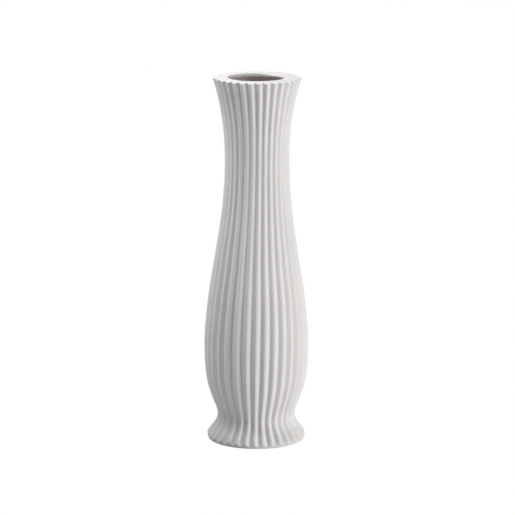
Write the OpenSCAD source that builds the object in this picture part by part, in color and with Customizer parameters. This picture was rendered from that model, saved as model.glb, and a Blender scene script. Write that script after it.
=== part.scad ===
// Tall ribbed flower vase: a slip-cast ceramic body and its self-adhesive foot pads.
// Millimetres, +Z up. The origin is on the vase's axis, on the surface that the pads stand on.

/* [Vase] */
// Overall height, from the standing surface to the lip
height = 400; // [300:10:600]
// Radius over the ribs at the lip
lip_r = 48.2; // [46:0.1:56]
// Radius over the ribs at the neck, the narrowest place above the belly
neck_r = 34.8; // [33:0.1:42]
// Radius over the ribs at the belly, the widest place
belly_r = 56.9; // [50:0.1:66]
// Radius over the ribs at the waist, just above the foot
waist_r = 42.2; // [40:0.1:48]
// Radius over the ribs at the flared foot
foot_r = 54.2; // [53:0.1:62]

/* [Ribs] */
// Number of ribs around the vase
rib_count = 33; // [28:1:38]
// Depth of the grooves between the ribs, as a share of the radius
rib_share = 0.05; // [0.03:0.005:0.06]
// Angle of the first rib from the front, in degrees
rib_turn = 2.4; // [-6:0.1:6]
// Angle that the ribs drift sideways between the neck and the belly, in degrees
rib_drift = 4.5; // [0:0.5:6]

/* [Wall and mouth] */
// Thickness of the cast wall at the bottom of a groove
wall = 4; // [3:0.25:5]
// Radius of the round mouth cut in the lip
mouth_r = 30.9; // [26:0.1:32]
// Distance that the mouth is cut off the vase's axis, to the left
mouth_shift = 1.2; // [0:0.1:2]
// Thickness of the flat lip around the mouth
lip_t = 3; // [2.5:0.5:5]
// Thickness of the floor inside
floor_t = 5; // [4:0.5:8]

/* [Foot] */
// Height of the plain band under the ribs
band_h = 2; // [1.5:0.5:4]
// Inner radius of the ring that the vase stands on
ring_r = 36; // [34:0.5:37]
// Depth of the hollow under the foot, inside the ring
hollow_h = 2.5; // [1:0.5:4]
// Radius of a foot pad
pad_r = 4; // [3:0.5:4]
// Thickness of a foot pad
pad_t = 1; // [0.8:0.1:1.6]
// Radius of the circle that the foot pads sit on
pad_circle_r = 41.5; // [41:0.5:46]

/* [Hidden] */
NODES = ["vase_body", "foot_pad_1", "foot_pad_2", "foot_pad_3", "foot_pad_4"];
pad_count = len(NODES) - 1;

function mix(a, b, share) = a + (b - a) * share;

// The radii below belong to a vase 400 mm high, and their heights stretch with it.
standard_height = 400;
stretch = (height - pad_t) / (standard_height - pad_t);
function level(z) = pad_t + (z - pad_t) * stretch;

// The foot tucks in by this much from its widest place down to the ring that it stands on.
foot_tuck = 1.5;

// Outline over the rib crests, from the foot to the lip, as [height, radius].
outline = [
    [level(pad_t), foot_r - foot_tuck],
    [level(4), foot_r],
    [level(9), mix(waist_r, foot_r, 0.84)],
    [level(18), mix(waist_r, foot_r, 0.27)],
    [level(27), waist_r],
    [level(36), mix(waist_r, belly_r, 0.12)],
    [level(45), mix(waist_r, belly_r, 0.36)],
    [level(63), mix(waist_r, belly_r, 0.76)],
    [level(100), belly_r],
    [level(154), mix(neck_r, belly_r, 0.84)],
    [level(207), mix(neck_r, belly_r, 0.47)],
    [level(260), mix(neck_r, belly_r, 0.12)],
    [level(312), neck_r],
    [level(348), mix(neck_r, lip_r, 0.155)],
    [level(384), mix(neck_r, lip_r, 0.655)],
    [level(400), lip_r]
];
last = len(outline) - 1;

// Smooth curve through the outline: cubic pieces that share a slope at each point.
function gap(i) = outline[i + 1][0] - outline[i][0];
function chord(i) = (outline[i + 1][1] - outline[i][1]) / gap(i);
function inner_slope(i) = (chord(i - 1) * gap(i) + chord(i) * gap(i - 1)) / (gap(i) + gap(i - 1));
function slope(i) =
    i == 0 ? 2 * chord(0) - inner_slope(1) :
    i == last ? 2 * chord(last - 1) - inner_slope(last - 1) :
    inner_slope(i);
function piece_at(z, i = 0) = i >= last - 1 || z < outline[i + 1][0] ? i : piece_at(z, i + 1);
function hermite(i, t) =
    (2 * t ^ 3 - 3 * t ^ 2 + 1) * outline[i][1]
    + (t ^ 3 - 2 * t ^ 2 + t) * gap(i) * slope(i)
    + (3 * t ^ 2 - 2 * t ^ 3) * outline[i + 1][1]
    + (t ^ 3 - t ^ 2) * gap(i) * slope(i + 1);
function crest_r(z) = let (i = piece_at(z)) hermite(i, (z - outline[i][0]) / gap(i));

// Smooth step from 0 below a to 1 above b.
function ease(a, b, z) = let (t = min(1, max(0, (z - a) / (b - a)))) t * t * (3 - 2 * t);

// The grooves start above the plain band and reach their full depth over this height.
groove_run = 5;
function groove_depth(z) = rib_share * crest_r(z) * ease(pad_t + band_h, pad_t + band_h + groove_run, z);
function lean(z) = rib_turn - rib_drift * (1 - ease(level(80), level(260), z));

// Groove across one rib, 0 on the crest and 1 in the groove: a round crest and a tighter groove.
points_per_rib = 4;
function groove(u) = mix(sin(180 * u) ^ 2, 1 - abs(cos(180 * u)), 0.5);

// Ribbed skin as rings of points, closed at the foot and the lip.
ring_points = rib_count * points_per_rib;
foot_levels = [pad_t, 2.5, 4, 6.5, 9, 12, 15, 18, 21, 24, 27, 30, 33, 36, 40, 45, 50, 56];
upper_levels = [for (z = [63 : 12 : 147]) z, for (z = [160 : 16 : 336]) z, 348, 360, 372, 384, 393, 400];
levels = [for (z = foot_levels) level(z), for (z = upper_levels) level(z)];
function ring(z) = [
    for (k = [0 : ring_points - 1])
        let (u = k / points_per_rib, angle = 360 * u / rib_count - 90 + lean(z))
        let (r = crest_r(z) - groove_depth(z) * groove(u))
        [r * cos(angle), r * sin(angle), z]
];

module ribbed_skin() {
    rings = len(levels);
    foot_centre = rings * ring_points;
    lip_centre = foot_centre + 1;
    points = [
        for (z = levels) each ring(z),
        [0, 0, levels[0]],
        [0, 0, levels[rings - 1]]
    ];
    side = [
        for (j = [0 : rings - 2], k = [0 : ring_points - 1])
            let (next = (k + 1) % ring_points, low = j * ring_points, high = low + ring_points)
            each [[high + k, high + next, low + next], [high + k, low + next, low + k]]
    ];
    ends = [
        for (k = [0 : ring_points - 1])
            let (next = (k + 1) % ring_points, top = (rings - 1) * ring_points)
            each [[foot_centre, k, next], [lip_centre, top + next, top + k]]
    ];
    polyhedron(points = points, faces = concat(side, ends), convexity = 8);
}

// Water space: it follows the outside one wall in, and closes to the mouth under the lip.
cavity_step = 8;
cavity_base = pad_t + hollow_h + floor_t;
cavity_top = height - lip_t;
function cavity_r(z) = crest_r(z) * (1 - rib_share) - wall;
module cavity() {
    levels_up = [for (z = [cavity_base : cavity_step : cavity_top - cavity_step / 2]) z, cavity_top];
    rotate_extrude($fn = 96)
        polygon(concat([[0, cavity_base]], [for (z = levels_up) [cavity_r(z), z]], [[0, cavity_top]]));
}

module vase_body() {
    color([0.93, 0.92, 0.91])
        difference() {
            ribbed_skin();
            cavity();
            translate([-mouth_shift, 0, cavity_top - 1])
                cylinder(r = mouth_r, h = lip_t + 2, $fn = 96);
            translate([0, 0, pad_t - 1])
                cylinder(r = ring_r, h = hollow_h + 1, $fn = 96);
        }
}

// The pads sit on the standing ring, evenly spaced.
module foot_pad(number) {
    color([0.85, 0.86, 0.86])
        rotate([0, 0, 360 * (number - 0.5) / pad_count])
            translate([pad_circle_r, 0, 0])
                cylinder(r = pad_r, h = pad_t, $fn = 32);
}

vase_body();
for (number = [1 : pad_count])
    foot_pad(number);
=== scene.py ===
"""Tall ribbed flower vase: the looks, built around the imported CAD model.

One seamless casting with rounded pleats, a flat lip, a cut mouth, a hollow inside and a foot ring, and
four pads under that ring.
Shape values are in millimetres, and every mesh is made in metres in the frame of the CAD model.
"""

import math

import bpy
import numpy as np
from mathutils import Matrix, Vector


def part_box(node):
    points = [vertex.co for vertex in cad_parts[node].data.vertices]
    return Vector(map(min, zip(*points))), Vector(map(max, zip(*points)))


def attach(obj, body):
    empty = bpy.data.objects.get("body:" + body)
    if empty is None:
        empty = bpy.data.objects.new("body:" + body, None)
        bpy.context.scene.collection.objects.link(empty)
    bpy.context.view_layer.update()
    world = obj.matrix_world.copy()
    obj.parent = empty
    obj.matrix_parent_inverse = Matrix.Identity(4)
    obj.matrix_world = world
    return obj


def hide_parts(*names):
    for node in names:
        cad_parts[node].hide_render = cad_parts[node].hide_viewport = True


MM = 0.001

# The vase, as in the CAD model.
LIP_R = 48.2
NECK_R = 34.8
BELLY_R = 56.9
WAIST_R = 42.2
FOOT_R = 54.2
RIBS = 33
RIB_SHARE = 0.05
RIB_TURN = 2.4
RIB_DRIFT = 3.5
WALL = 4.0
MOUTH_R = 30.9
MOUTH_SHIFT = 1.2
LIP_T = 3.0
FLOOR_T = 5.0
BAND_H = 2.0
GROOVE_RUN = 5.0
RING_R = 36.0
HOLLOW_H = 2.5
FOOT_TUCK = 1.5
PADS = 4

# Finish of the casting: roundings, and how far it strays from the CAD model.
POINTS_PER_RIB = 14
LIP_ROUND = 0.5
CREST_DROP = 1.2
LIP_TILT = 0.55
MOUTH_ROUND = 0.35
UNDER_LIP_ROUND = 0.2
EDGE_SPARE = 0.6
FOOT_ROUND = 0.5
RING_ROUND = 0.9
RIB_END = 3.0
SHOULDER_ROUND = 3.0
INNER_ROUND = 6.0
INNER_RIPPLE = 0.35
RIB_SPACING = 0.25
HAND_DENTS = 0.12
GROOVE_SPREAD = 0.08
SEED = 7

# A pad's lower edge, and its columns.
PAD_EDGE = 0.35
PAD_COLUMNS = 48

# The floor, in metres: its half width, and the shade around the foot as distances from the axis.
FLOOR_HALF = 6.0
SHADE_FROM = 0.05
SHADE_TO = 0.13
SHADE_LEAST = 0.55


def mix(a, b, share):
    return a + (b - a) * share


def ease(a, b, z):
    """From 0 at a to 1 at b, with a level start and end."""
    t = np.clip((np.asarray(z, float) - a) / (b - a), 0, 1)
    return t * t * (3 - 2 * t)


# ---------------------------------------------------------------- outline


def smooth_curve(points):
    """Cubic pieces through the points that share a slope at each point, as in the CAD model."""
    z, r = np.array(points, float).T
    gap = np.diff(z)
    chord = np.diff(r) / gap
    slope = np.empty(len(z))
    slope[1:-1] = (chord[:-1] * gap[1:] + chord[1:] * gap[:-1]) / (gap[1:] + gap[:-1])
    slope[0] = 2 * chord[0] - slope[1]
    slope[-1] = 2 * chord[-1] - slope[-2]

    def radius(height):
        height = np.asarray(height, float)
        i = np.clip(np.searchsorted(z, height, side="right") - 1, 0, len(gap) - 1)
        t = (height - z[i]) / gap[i]
        start = (2 * t**3 - 3 * t**2 + 1) * r[i] + (t**3 - 2 * t**2 + t) * gap[i] * slope[i]
        end = (3 * t**2 - 2 * t**3) * r[i + 1] + (t**3 - t**2) * gap[i] * slope[i + 1]
        return start + end

    return radius


def make_outline(foot_z, top_z):
    return smooth_curve(
        [
            (foot_z, FOOT_R - FOOT_TUCK),
            (4, FOOT_R),
            (9, mix(WAIST_R, FOOT_R, 0.84)),
            (18, mix(WAIST_R, FOOT_R, 0.27)),
            (27, WAIST_R),
            (36, mix(WAIST_R, BELLY_R, 0.12)),
            (45, mix(WAIST_R, BELLY_R, 0.36)),
            (63, mix(WAIST_R, BELLY_R, 0.76)),
            (100, BELLY_R),
            (154, mix(NECK_R, BELLY_R, 0.84)),
            (207, mix(NECK_R, BELLY_R, 0.47)),
            (260, mix(NECK_R, BELLY_R, 0.12)),
            (312, NECK_R),
            (348, mix(NECK_R, LIP_R, 0.155)),
            (384, mix(NECK_R, LIP_R, 0.655)),
            (top_z, LIP_R),
        ]
    )


def arc(centre, radius, start, end, steps):
    """Points (r, z) along an arc, with angles in degrees from +r towards +z, both ends included."""
    angles = np.radians(np.linspace(start, end, steps))
    return [(centre[0] + radius * math.cos(a), centre[1] + radius * math.sin(a)) for a in angles]


def groove_share(z, band_top):
    """Share of the full groove depth above the plain band: it opens at once and is full a little higher."""
    return 1 - (1 - np.clip((np.asarray(z, float) - band_top) / GROOVE_RUN, 0, 1)) ** 2


def casting_profile(outline, foot_z, top_z):
    """The section of the vase from the middle of its underside, up the outside, and down the inside.

    Each point is (r, z, groove): groove is the share of the groove's depth that the point moves in by.
    The second result is the number of the first point inside the vase.
    """
    points = []

    def add(pairs, groove=0.0):
        points.extend((r, z, groove) for r, z in pairs)

    # Underside: a shallow hollow inside the ring that the vase stands on.
    roof = foot_z + HOLLOW_H
    add([(r, roof) for r in (6, 14, 22, 29, RING_R - RING_ROUND - 1.2)])
    add(arc((RING_R - RING_ROUND, roof - RING_ROUND), RING_ROUND, 90, 0, 5))
    add(arc((RING_R + RING_ROUND, foot_z + RING_ROUND), RING_ROUND, 180, 270, 5))
    band_r = float(outline(foot_z))
    add([(r, foot_z) for r in (39, 42, 45, 48, band_r - FOOT_ROUND - 0.5)])
    add(arc((band_r - FOOT_ROUND, foot_z + FOOT_ROUND), FOOT_ROUND, 270, 350, 5))

    # Plain band, and over it the rounded ends of the ribs.
    band_top = foot_z + BAND_H
    add([(band_r + 0.1, band_top - 0.5), (band_r + 0.2, band_top - 0.1)])
    end_top = band_top + RIB_END
    for angle in np.radians((12, 30, 48, 66, 84)):
        r = mix(band_r + 0.3, float(outline(end_top)), math.sin(angle))
        z = end_top - RIB_END * math.cos(angle)
        points.append((r, z, groove_share(z, band_top)))

    # Outside: close rings at the foot and the lip, wider ones between.
    levels = np.concatenate(
        [
            np.arange(end_top + 0.5, 14, 0.8),
            np.arange(14, 52, 2.0),
            np.arange(52, top_z - 12, 4.6),
            np.linspace(top_z - 10, top_z - LIP_ROUND - 0.3, 7),
        ]
    )
    points.extend(zip(outline(levels), levels, groove_share(levels, band_top)))

    # Lip: a rounded outer edge, a flat top and the cut mouth.
    lip_edge = float(outline(top_z - LIP_ROUND))
    add(arc((lip_edge - LIP_ROUND, top_z - LIP_ROUND), LIP_ROUND, 8, 90, 7), 1.0)
    inner_lip = MOUTH_R + MOUTH_ROUND
    for share in (0.04, 0.09, 0.16, 0.25, 0.45, 0.7, 0.86, 0.91, 0.95, 0.98):
        points.append((mix(lip_edge - LIP_ROUND, inner_lip, share), top_z, 1 - share))
    add(arc((inner_lip, top_z - MOUTH_ROUND), MOUTH_ROUND, 90, 180, 5))
    under = top_z - LIP_T
    add([(MOUTH_R, z) for z in (top_z - 0.9, top_z - 1.6, top_z - 2.2)])
    add(arc((MOUTH_R + UNDER_LIP_ROUND, under + UNDER_LIP_ROUND), UNDER_LIP_ROUND, 180, 270, 4))
    first_inside = len(points)

    # Inside: under the lip, down the wall and over the floor.
    def inner_r(z):
        return outline(z) * (1 - RIB_SHARE) - WALL

    shoulder_z = under - SHOULDER_ROUND
    add([(float(inner_r(under)) - SHOULDER_ROUND - 1.5, under)])
    add(arc((float(inner_r(shoulder_z)) - SHOULDER_ROUND, shoulder_z), SHOULDER_ROUND, 90, 10, 6))
    floor_z = foot_z + HOLLOW_H + FLOOR_T
    inner_levels = np.concatenate(
        [np.linspace(under - 6, 60, 20), np.linspace(54, floor_z + INNER_ROUND + 0.5, 8)]
    )
    points.extend(zip(inner_r(inner_levels), inner_levels, np.full(len(inner_levels), INNER_RIPPLE)))
    floor_edge = float(inner_r(floor_z + INNER_ROUND))
    add(arc((floor_edge - INNER_ROUND, floor_z + INNER_ROUND), INNER_ROUND, 0, -90, 6))
    add([(r, floor_z) for r in (30, 18, 8)])
    return np.array(points, float), first_inside


# ---------------------------------------------------------------- ribs


def waves(rng, count, size, orders):
    """A smooth, seeded unevenness around and up the vase: a sum of slow sines of angle and height."""
    terms = []
    for _ in range(count):
        order = rng.integers(orders[0], orders[1] + 1)
        terms.append((order, rng.uniform(-2.5, 2.5), rng.uniform(0, 2 * math.pi)))

    def at(turn, share):
        total = 0.0
        for order, climb, phase in terms:
            total = total + np.sin(order * turn + climb * share + phase)
        return size * total / math.sqrt(count)

    return at


def groove(u):
    """Across one rib: 0 on its round crest, 1 in the tighter groove."""
    return mix(np.sin(math.pi * u) ** 2, 1 - np.abs(np.cos(math.pi * u)), 0.5)


def near(turn, centre, tightness):
    """A smooth hump around the vase: 1 at the centre angle in degrees, falling off on both sides."""
    return np.exp(tightness * (np.cos(turn - math.radians(centre)) - 1))


def hump(z, middle, width):
    """A smooth hump along the height: 1 at the middle."""
    return np.exp(-(((z - middle) / width) ** 2))


def lean(turn, z):
    """Degrees that a rib strays sideways at each height: hand-made moulds are never quite true.

    The ribs drift between the belly and the neck, gather above the foot, and sway in a few places.
    """
    drift = RIB_DRIFT * (1 - ease(100, 260, z)) + 0.7 * ease(370, 400, z)
    gather = 1.5 * (1 + np.sin(2 * turn - 0.28)) * (1 - ease(20, 160, z))
    sway = 1.75 * near(turn, 26, 8) * hump(z, 212, 52)
    left = near(turn, -70, 10) * (2.2 * (1 - ease(230, 300, z)) + 1.4 * hump(z, 215, 50))
    right = 2.0 * near(turn, 75, 60) * (1 - ease(230, 300, z))
    middle = 0.8 * near(turn, -5, 25) * (1 - hump(z, 225, 60)) * ease(15, 60, z)
    high_left = 1.2 * near(turn, -33, 12) * ease(270, 330, z) * (1 - 0.5 * ease(350, 370, z))
    high_right = 1.1 * near(turn, 50, 80) * ease(340, 370, z)
    low = 1.2 * near(turn, 62, 20) * (1 - ease(27, 45, z))
    spread = 1.3 * np.sin(turn) * np.abs(np.sin(turn))
    return RIB_TURN - drift - gather - sway - left + right + middle + high_left + high_right + low + spread


def carve(turn, z):
    """Share of the usual groove depth at each place: deep at the foot and the lip, shallow at the neck."""
    along = 1.0 + 0.3 * (1 - ease(10, 26, z)) + 0.17 * ease(345, 380, z) - 0.17 * hump(z, 310, 30)
    right = 0.5 * near(turn, 57, 60) * (1 - ease(215, 280, z)) - 0.25 * near(turn, 49, 60) * hump(z, 320, 35)
    lip_right = 0.4 * near(turn, 66, 25) * ease(360, 378, z)
    left = 0.25 * near(turn, -52, 40) * hump(z, 170, 60) + 0.15 * near(turn, -31, 80) * hump(z, 150, 45)
    return along * (1 + right + lip_right + left)


def wiped(turn):
    """Millimetres that the sponge took off the mouth's rim: most at the back right, a little in front."""
    return 1.4 * near(turn, 140, 10) + 0.3 * near(turn, 0, 2)


def bulge(turn, z):
    """Millimetres that the wall stands out on the right, just below the neck."""
    return 0.7 * near(turn, 92, 12) * hump(z, 280, 40)


def vase_grid(profile, top_z):
    """Positions of the casting's points, as rows along the profile and columns around it, in millimetres."""
    rng = np.random.default_rng(SEED)
    columns = RIBS * POINTS_PER_RIB
    u = np.arange(columns) / POINTS_PER_RIB
    turn = 2 * math.pi * u / RIBS
    r, z, share = (profile[:, i : i + 1] for i in range(3))
    height = z / top_z

    spacing = waves(rng, 5, math.radians(RIB_SPACING), (2, 7))
    hand = waves(rng, 4, HAND_DENTS, (1, 4))
    each_groove = 1 + rng.uniform(-GROOVE_SPREAD, GROOVE_SPREAD, RIBS)
    depth = RIB_SHARE * r * carve(turn, z) * each_groove[np.floor(u).astype(int) % RIBS] * groove(u)

    ribbed = np.clip(share, 0, 1)
    angle = turn - math.pi / 2 + np.radians(lean(turn, z)) + spacing(turn, height) * ribbed
    radius = r - share * depth + (hand(turn, height) + bulge(turn, z)) * ribbed
    x, y = radius * np.cos(angle), radius * np.sin(angle)

    # The rib ends round off at the lip, least on the left.
    near_lip = ease(top_z - 6, top_z - 1, z)
    to_edge = np.exp(-(((LIP_R - r) / 2.6) ** 2))
    soften = CREST_DROP * (1 - 0.8 * near(turn, -90, 5))
    drop = soften * (1 - groove(u)) * near_lip * to_edge

    # A sponge has taken a little off the mouth's rim.
    to_mouth = 1 - ease(MOUTH_R + MOUTH_ROUND, MOUTH_R + 2.0, r)
    drop = drop + wiped(turn) * to_mouth * ease(top_z - LIP_T, top_z, z)

    # The cut edge is a little thicker at the back.
    by_edge = ease(top_z - 8, top_z - LIP_T, z) * (1 - ease(MOUTH_R + 0.5, MOUTH_R + 6, r))
    drop = drop + EDGE_SPARE * near(turn, 180, 4) * by_edge * (1 - ease(top_z - LIP_T, top_z - 0.5, z))

    # The lip is a touch lower in front, and the mouth is cut a little off the middle.
    tilt = LIP_TILT * y / LIP_R * ease(top_z - 40, top_z, z)
    x = x - MOUTH_SHIFT * ease(LIP_R - 8, MOUTH_R + 2, r) * ease(top_z - 8, top_z - LIP_T, z)
    return np.stack([x, y, z - drop + tilt], axis=-1)


# ---------------------------------------------------------------- meshes


def revolve_mesh(name, grid, bottom, top):
    """A closed mesh from rows of points around an axis, with a centre point at each end."""
    rows, columns = grid.shape[:2]
    points = np.vstack([grid.reshape(-1, 3), [bottom, top]]) * MM
    k = np.arange(columns)
    nxt = (k + 1) % columns
    quads = []
    for j in range(rows - 1):
        low, high = j * columns, (j + 1) * columns
        quads.append(np.stack([low + k, low + nxt, high + nxt, high + k], axis=1))
    first, last = rows * columns, rows * columns + 1
    fans = [
        np.stack([np.full(columns, first), nxt, k], axis=1),
        np.stack([np.full(columns, last), (rows - 1) * columns + k, (rows - 1) * columns + nxt], axis=1),
    ]
    faces = np.vstack(quads).tolist() + np.vstack(fans).tolist()
    mesh = bpy.data.meshes.new(name)
    mesh.from_pydata(points.tolist(), [], faces)
    mesh.validate()
    mesh.polygons.foreach_set("use_smooth", [True] * len(mesh.polygons))
    mesh.update()
    piece = bpy.data.objects.new(name, mesh)
    bpy.context.scene.collection.objects.link(piece)
    return piece


def paint(mesh, name, values):
    """Store a value for each point, which the material reads."""
    mesh.attributes.new(name, "FLOAT", "POINT").data.foreach_set("value", np.asarray(values, float))


def make_casting(foot_z, top_z):
    outline = make_outline(foot_z, top_z)
    profile, first_inside = casting_profile(outline, foot_z, top_z)
    grid = vase_grid(profile, top_z)
    floor_z = foot_z + HOLLOW_H + FLOOR_T
    casting = revolve_mesh("vase_casting", grid, (0, 0, foot_z + HOLLOW_H), (0, 0, floor_z))

    rows, columns = grid.shape[:2]
    inside = np.repeat(np.arange(rows) >= first_inside, columns)
    across = groove(np.arange(columns) / POINTS_PER_RIB)
    # Painted shade: how far each outside point lies into a groove, which the material paints darker.
    groove_painted_shade = (np.clip(profile[:, 2:], 0, 1) * across).ravel() * ~inside
    # Painted shade: the inside points are marked so that the material paints them darker and warmer.
    paint(casting.data, "inside", [*inside, False, True])
    paint(casting.data, "groove", [*groove_painted_shade, 0, 0])
    # Painted highlight: the points on the mouth's cut edge, which the material paints lighter.
    cut_edge_painted_light = (profile[:, 0] < MOUTH_R + 0.6) & (profile[:, 1] > top_z - LIP_T + 0.1)
    paint(casting.data, "cut", [*np.repeat(cut_edge_painted_light, columns), False, False])
    return casting


def make_pad(name, low, high):
    """A self-adhesive bumper: flat on top, a slightly barrelled side and a rounded edge underneath."""
    centre = (low + high) / 2 / MM
    radius = (high.x - low.x) / 2 / MM
    thick = (high.z - low.z) / MM
    section = [(radius * share, low.z / MM + 0.03 * (1 - share)) for share in (0.25, 0.5, 0.75)]
    section += arc((radius - PAD_EDGE, low.z / MM + PAD_EDGE), PAD_EDGE, 270, 360, 6)
    section += [(radius, low.z / MM + thick * 0.65), (radius - 0.08, high.z / MM)]
    section += [(radius * share, high.z / MM) for share in (0.7, 0.35)]
    turn = np.linspace(0, 2 * math.pi, PAD_COLUMNS, endpoint=False)
    rings = [[(centre.x + r * math.cos(a), centre.y + r * math.sin(a), z) for a in turn] for r, z in section]
    bottom = (centre.x, centre.y, section[0][1])
    return revolve_mesh(name, np.array(rings), bottom, (centre.x, centre.y, high.z / MM))


# ---------------------------------------------------------------- materials


def new_material(name):
    material = bpy.data.materials.new(name)
    material.use_nodes = True
    tree = material.node_tree
    return material, tree, tree.nodes["Principled BSDF"]


def node(tree, kind, **values):
    made = tree.nodes.new(kind)
    for key, value in values.items():
        setattr(made, key, value)
    return made


def noise(tree, coords, scale, detail=4.0, rough=0.5):
    made = node(tree, "ShaderNodeTexNoise")
    made.inputs["Scale"].default_value = scale
    made.inputs["Detail"].default_value = detail
    made.inputs["Roughness"].default_value = rough
    tree.links.new(coords, made.inputs["Vector"])
    return made.outputs["Fac"]


def ramp(tree, factor, stops):
    made = node(tree, "ShaderNodeValToRGB")
    elements = made.color_ramp.elements
    for element, (position, colour) in zip(elements, (stops[0], stops[-1])):
        element.position = position
        element.color = (*colour, 1)
    for position, colour in stops[1:-1]:
        elements.new(position).color = (*colour, 1)
    tree.links.new(factor, made.inputs["Fac"])
    return made.outputs["Color"]


def bump(tree, height, distance, strength, below=None):
    made = node(tree, "ShaderNodeBump")
    made.inputs["Distance"].default_value = distance
    made.inputs["Strength"].default_value = strength
    tree.links.new(height, made.inputs["Height"])
    if below is not None:
        tree.links.new(below, made.inputs["Normal"])
    return made.outputs["Normal"]


def attribute(tree, name):
    return node(tree, "ShaderNodeAttribute", attribute_name=name).outputs["Fac"]


def mixed(tree, factor, first, second):
    """A mix of two colours, each a socket or a tuple."""
    made = node(tree, "ShaderNodeMix", data_type="RGBA")
    tree.links.new(factor, made.inputs["Factor"])
    for name, colour in (("A", first), ("B", second)):
        socket = [entry for entry in made.inputs if entry.name == name and entry.type == "RGBA"][0]
        if isinstance(colour, tuple):
            socket.default_value = (*colour, 1)
        else:
            tree.links.new(colour, socket)
    return [entry for entry in made.outputs if entry.type == "RGBA"][0]


def times(tree, value, by):
    made = node(tree, "ShaderNodeMath", operation="MULTIPLY")
    made.inputs[1].default_value = by
    tree.links.new(value, made.inputs[0])
    return made.outputs["Value"]


def bisque():
    """Matt unglazed white earthenware, bright outside, with a painted highlight on the cut edge, painted
    shade in the grooves and a darker, warmer painted shade inside.
    """
    material, tree, shader = new_material("white_bisque")
    coords = node(tree, "ShaderNodeTexCoord").outputs["Object"]
    mottle = noise(tree, coords, 38, 3)
    outside = ramp(tree, mottle, [(0.3, (0.835, 0.818, 0.822)), (0.7, (0.862, 0.846, 0.85))])
    # Painted shade: the grooves are painted up to a quarter of the way to a darker grey, most at their
    # bottoms.
    outside = mixed(tree, times(tree, attribute(tree, "groove"), 0.25), outside, (0.79, 0.77, 0.765))
    # Painted highlight: the cut edge is painted a lighter white than the rest of the outside.
    outside = mixed(tree, attribute(tree, "cut"), outside, (0.95, 0.94, 0.935))
    # Painted shade: the inside is painted a darker, warmer grey than the outside.
    inside = ramp(tree, mottle, [(0.3, (0.74, 0.69, 0.67)), (0.7, (0.78, 0.73, 0.71))])
    tree.links.new(mixed(tree, attribute(tree, "inside"), outside, inside), shader.inputs["Base Color"])
    grain = noise(tree, coords, 1500, 4, 0.65)
    slip = noise(tree, coords, 170, 2)
    normal = bump(tree, slip, 0.0004, 0.25)
    normal = bump(tree, grain, 0.00012, 0.4, normal)
    tree.links.new(normal, shader.inputs["Normal"])
    shader.inputs["Roughness"].default_value = 0.72
    shader.inputs["Specular IOR Level"].default_value = 0.35
    return material


def pad_rubber():
    """Milky elastomer with a faint haze of dust."""
    material, tree, shader = new_material("pad_rubber")
    coords = node(tree, "ShaderNodeTexCoord").outputs["Object"]
    dust = noise(tree, coords, 900, 3)
    tone = ramp(tree, dust, [(0.35, (0.70, 0.71, 0.71)), (0.7, (0.80, 0.81, 0.80))])
    tree.links.new(tone, shader.inputs["Base Color"])
    tree.links.new(bump(tree, dust, 0.0001, 0.3), shader.inputs["Normal"])
    shader.inputs["Roughness"].default_value = 0.5
    return material


# ---------------------------------------------------------------- stage


def glow(tree, direction, level, tilt):
    """A glow of the given level that grows towards the tilt."""
    along = node(tree, "ShaderNodeVectorMath", operation="DOT_PRODUCT")
    along.inputs[1].default_value = tilt
    tree.links.new(direction, along.inputs[0])
    total = node(tree, "ShaderNodeMath", operation="ADD")
    total.inputs[1].default_value = level
    tree.links.new(along.outputs["Value"], total.inputs[0])
    return total.outputs["Value"]


def blend(tree, factor, low, high):
    """From low to high as the factor goes from 0 to 1."""
    made = node(tree, "ShaderNodeMapRange")
    tree.links.new(factor, made.inputs["Value"])
    for name, value in (("To Min", low), ("To Max", high)):
        if isinstance(value, float):
            made.inputs[name].default_value = value
        else:
            tree.links.new(value, made.inputs[name])
    return made.outputs["Result"]


def white_to_camera(tree, around):
    """The strength of a glow that the camera sees as pure white, and the vase at its own level."""
    seen = node(tree, "ShaderNodeLightPath").outputs["Is Camera Ray"]
    return blend(tree, seen, around, 1.0)


def make_world():
    """A dim and even room around the vase."""
    world = bpy.data.worlds.new("studio")
    bpy.context.scene.world = world
    world.use_nodes = True
    tree = world.node_tree
    background = tree.nodes["Background"]
    background.inputs["Color"].default_value = (1, 1, 1, 1)
    tree.links.new(white_to_camera(tree, 0.11), background.inputs["Strength"])


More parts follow.
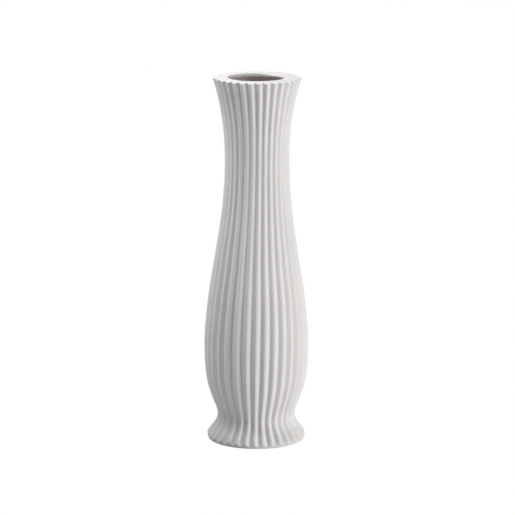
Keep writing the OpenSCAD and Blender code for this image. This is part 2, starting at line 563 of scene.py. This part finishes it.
def make_floor():
    """A bright studio sweep: more light from behind the vase and its left, and a shade by its foot."""
    mesh = bpy.data.meshes.new("floor")
    corners = [(x * FLOOR_HALF, y * FLOOR_HALF, 0) for x, y in ((-1, -1), (1, -1), (1, 1), (-1, 1))]
    mesh.from_pydata(corners, [], [(0, 1, 2, 3)])
    floor = bpy.data.objects.new("floor", mesh)
    bpy.context.scene.collection.objects.link(floor)
    material, tree, shader = new_material("pale_floor")
    mesh.materials.append(material)
    shader.inputs["Base Color"].default_value = (0, 0, 0, 1)
    shader.inputs["Specular IOR Level"].default_value = 0
    shader.inputs["Emission Color"].default_value = (1, 1, 1, 1)
    place = node(tree, "ShaderNodeTexCoord").outputs["Object"]
    below = node(tree, "ShaderNodeVectorMath", operation="ADD")
    below.inputs[1].default_value = (0, 0, -0.3)
    tree.links.new(place, below.inputs[0])
    away = node(tree, "ShaderNodeVectorMath", operation="NORMALIZE")
    tree.links.new(below.outputs["Vector"], away.inputs[0])
    light = glow(tree, away.outputs["Vector"], 0.62, (-0.24, 0.31, 0))
    distance = node(tree, "ShaderNodeVectorMath", operation="LENGTH")
    tree.links.new(place, distance.inputs[0])
    shade = node(tree, "ShaderNodeMapRange", interpolation_type="SMOOTHSTEP")
    shade.inputs["From Min"].default_value = SHADE_FROM
    shade.inputs["From Max"].default_value = SHADE_TO
    shade.inputs["To Min"].default_value = SHADE_LEAST
    tree.links.new(distance.outputs["Value"], shade.inputs["Value"])
    shaded = node(tree, "ShaderNodeMath", operation="MULTIPLY")
    tree.links.new(light, shaded.inputs[0])
    tree.links.new(shade.outputs["Result"], shaded.inputs[1])
    tree.links.new(white_to_camera(tree, shaded.outputs["Value"]), shader.inputs["Emission Strength"])


def area_light(name, place, target, width, height, power, colour=(1, 1, 1)):
    data = bpy.data.lights.new(name, "AREA")
    data.shape = "RECTANGLE"
    data.size = width
    data.size_y = height
    data.energy = power
    data.color = colour
    light = bpy.data.objects.new(name, data)
    light.location = place
    light.rotation_euler = (Vector(target) - Vector(place)).to_track_quat("-Z", "Y").to_euler()
    bpy.context.scene.collection.objects.link(light)
    return light


def make_stage():
    make_world()
    make_floor()
    area_light("key", (1.39, -0.78, 0.32), (0, 0, 0.2), 0.8, 0.8, 19.8, (1, 0.995, 0.967))
    area_light("upper_left", (-0.31, -0.02, 1.02), (0, 0, 0.3), 0.45, 0.5, 5.7)


def make_camera():
    """A long lens in front of the vase and above it, looking down at the middle of its height."""
    distance, height, aside = 2.62, 0.734, 0.0009
    data = bpy.data.cameras.new("camera")
    data.sensor_width = 36.0
    data.lens = 171.6
    camera = bpy.data.objects.new("camera", data)
    camera.location = (aside, -distance, height)
    pitch, roll = math.radians(11.47), math.radians(0.18)
    turn = Matrix.Rotation(math.pi / 2 - pitch, 4, "X") @ Matrix.Rotation(roll, 4, "Z")
    camera.rotation_euler = turn.to_euler()
    bpy.context.scene.collection.objects.link(camera)
    bpy.context.scene.camera = camera


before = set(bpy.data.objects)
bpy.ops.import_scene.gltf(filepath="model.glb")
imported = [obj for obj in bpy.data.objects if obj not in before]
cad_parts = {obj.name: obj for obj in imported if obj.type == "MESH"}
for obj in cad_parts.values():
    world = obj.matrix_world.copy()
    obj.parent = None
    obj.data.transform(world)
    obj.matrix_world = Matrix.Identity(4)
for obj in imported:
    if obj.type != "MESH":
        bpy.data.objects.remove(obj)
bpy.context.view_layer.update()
body_low, body_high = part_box("vase_body")

make_camera()
make_stage()

casting = make_casting(body_low.z / MM, body_high.z / MM)
casting.data.materials.append(bisque())
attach(casting, "root")
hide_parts("vase_body")

rubber = pad_rubber()
for number in range(1, PADS + 1):
    cad_pad = f"foot_pad_{number}"
    pad = make_pad(f"bumper_{number}", *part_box(cad_pad))
    pad.data.materials.append(rubber)
    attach(pad, "root")
    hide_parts(cad_pad)

scene = bpy.context.scene
scene.view_settings.view_transform = "Standard"
